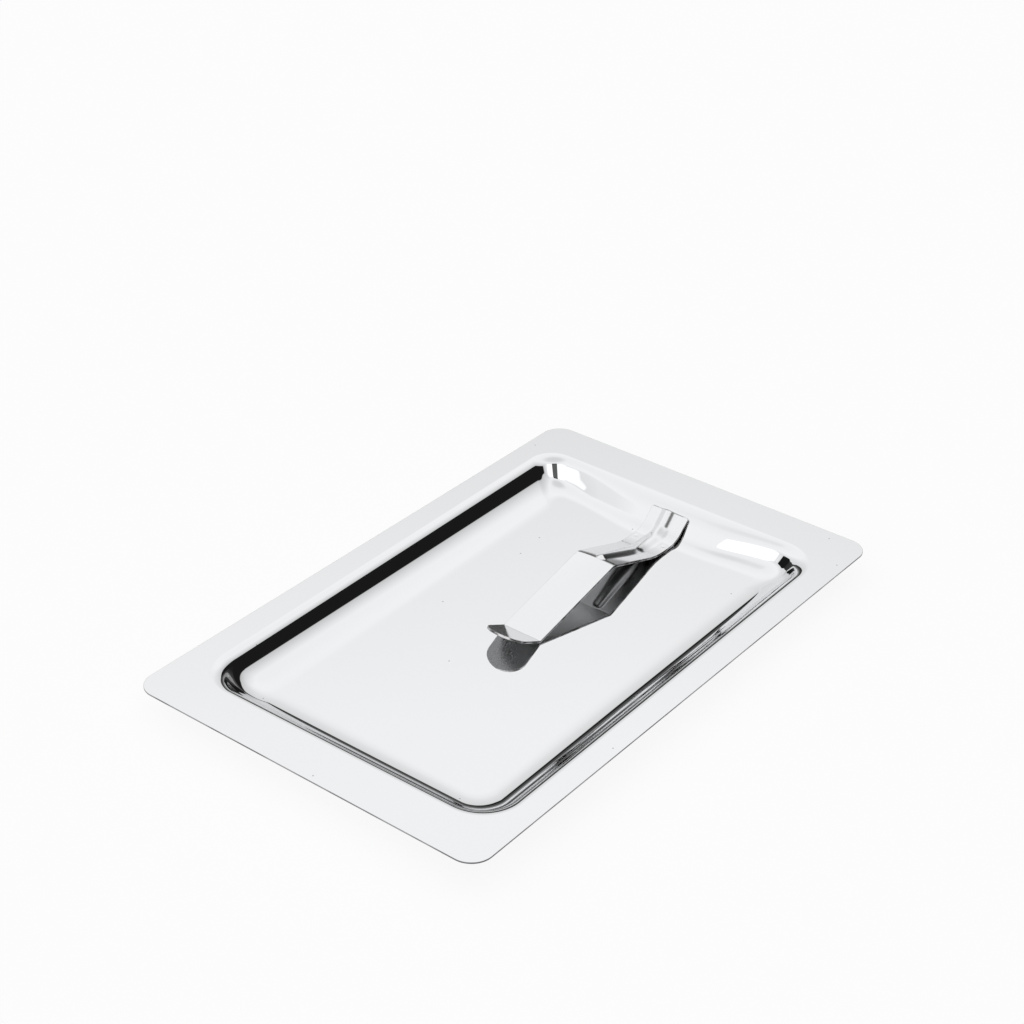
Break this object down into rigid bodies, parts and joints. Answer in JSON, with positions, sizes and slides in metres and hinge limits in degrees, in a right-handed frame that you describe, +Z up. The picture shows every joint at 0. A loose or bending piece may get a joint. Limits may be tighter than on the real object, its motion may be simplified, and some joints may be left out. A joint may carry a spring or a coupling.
{
  "type": "bill tray with spring clip",
  "caption": "Shallow mirror-polished steel tray with a wide flat rim, and a sprung steel strip on its floor that clips down a bill, receipt or banknotes.",
  "frame": {"origin": "bottom centre: the middle of the pan's flat underside, on the surface the tray stands on", "axes": "+X along the length towards the end where the clip is welded, +Y across the width, +Z up"},
  "size_m": [0.22, 0.1374, 0.0118],
  "materials": {
    "tray_steel": "mirror-polished stainless steel sheet with faint polishing haze and fine specks",
    "clip_steel": "bright-rolled stainless spring steel strip, a little less polished than the tray",
    "weld_steel": "dull fused steel of a spot weld"
  },
  "bodies": {
    "tray": {"tray_pan": "tray_steel", "clip_foot": "clip_steel", "weld_spot_left": "weld_steel", "weld_spot_right": "weld_steel"},
    "clip": {"clip_leaf": "clip_steel"}
  },
  "joints": [
    {"name": "clip_flex", "type": "hinge", "parent": "tray", "child": "clip", "pos_m": [0.0647, 0, 0.0025], "axis": [0, 1, 0], "range_deg": [0, 9], "stiffness_Nm_per_rad": 2.5, "springref_deg": -2.01}
  ]
}
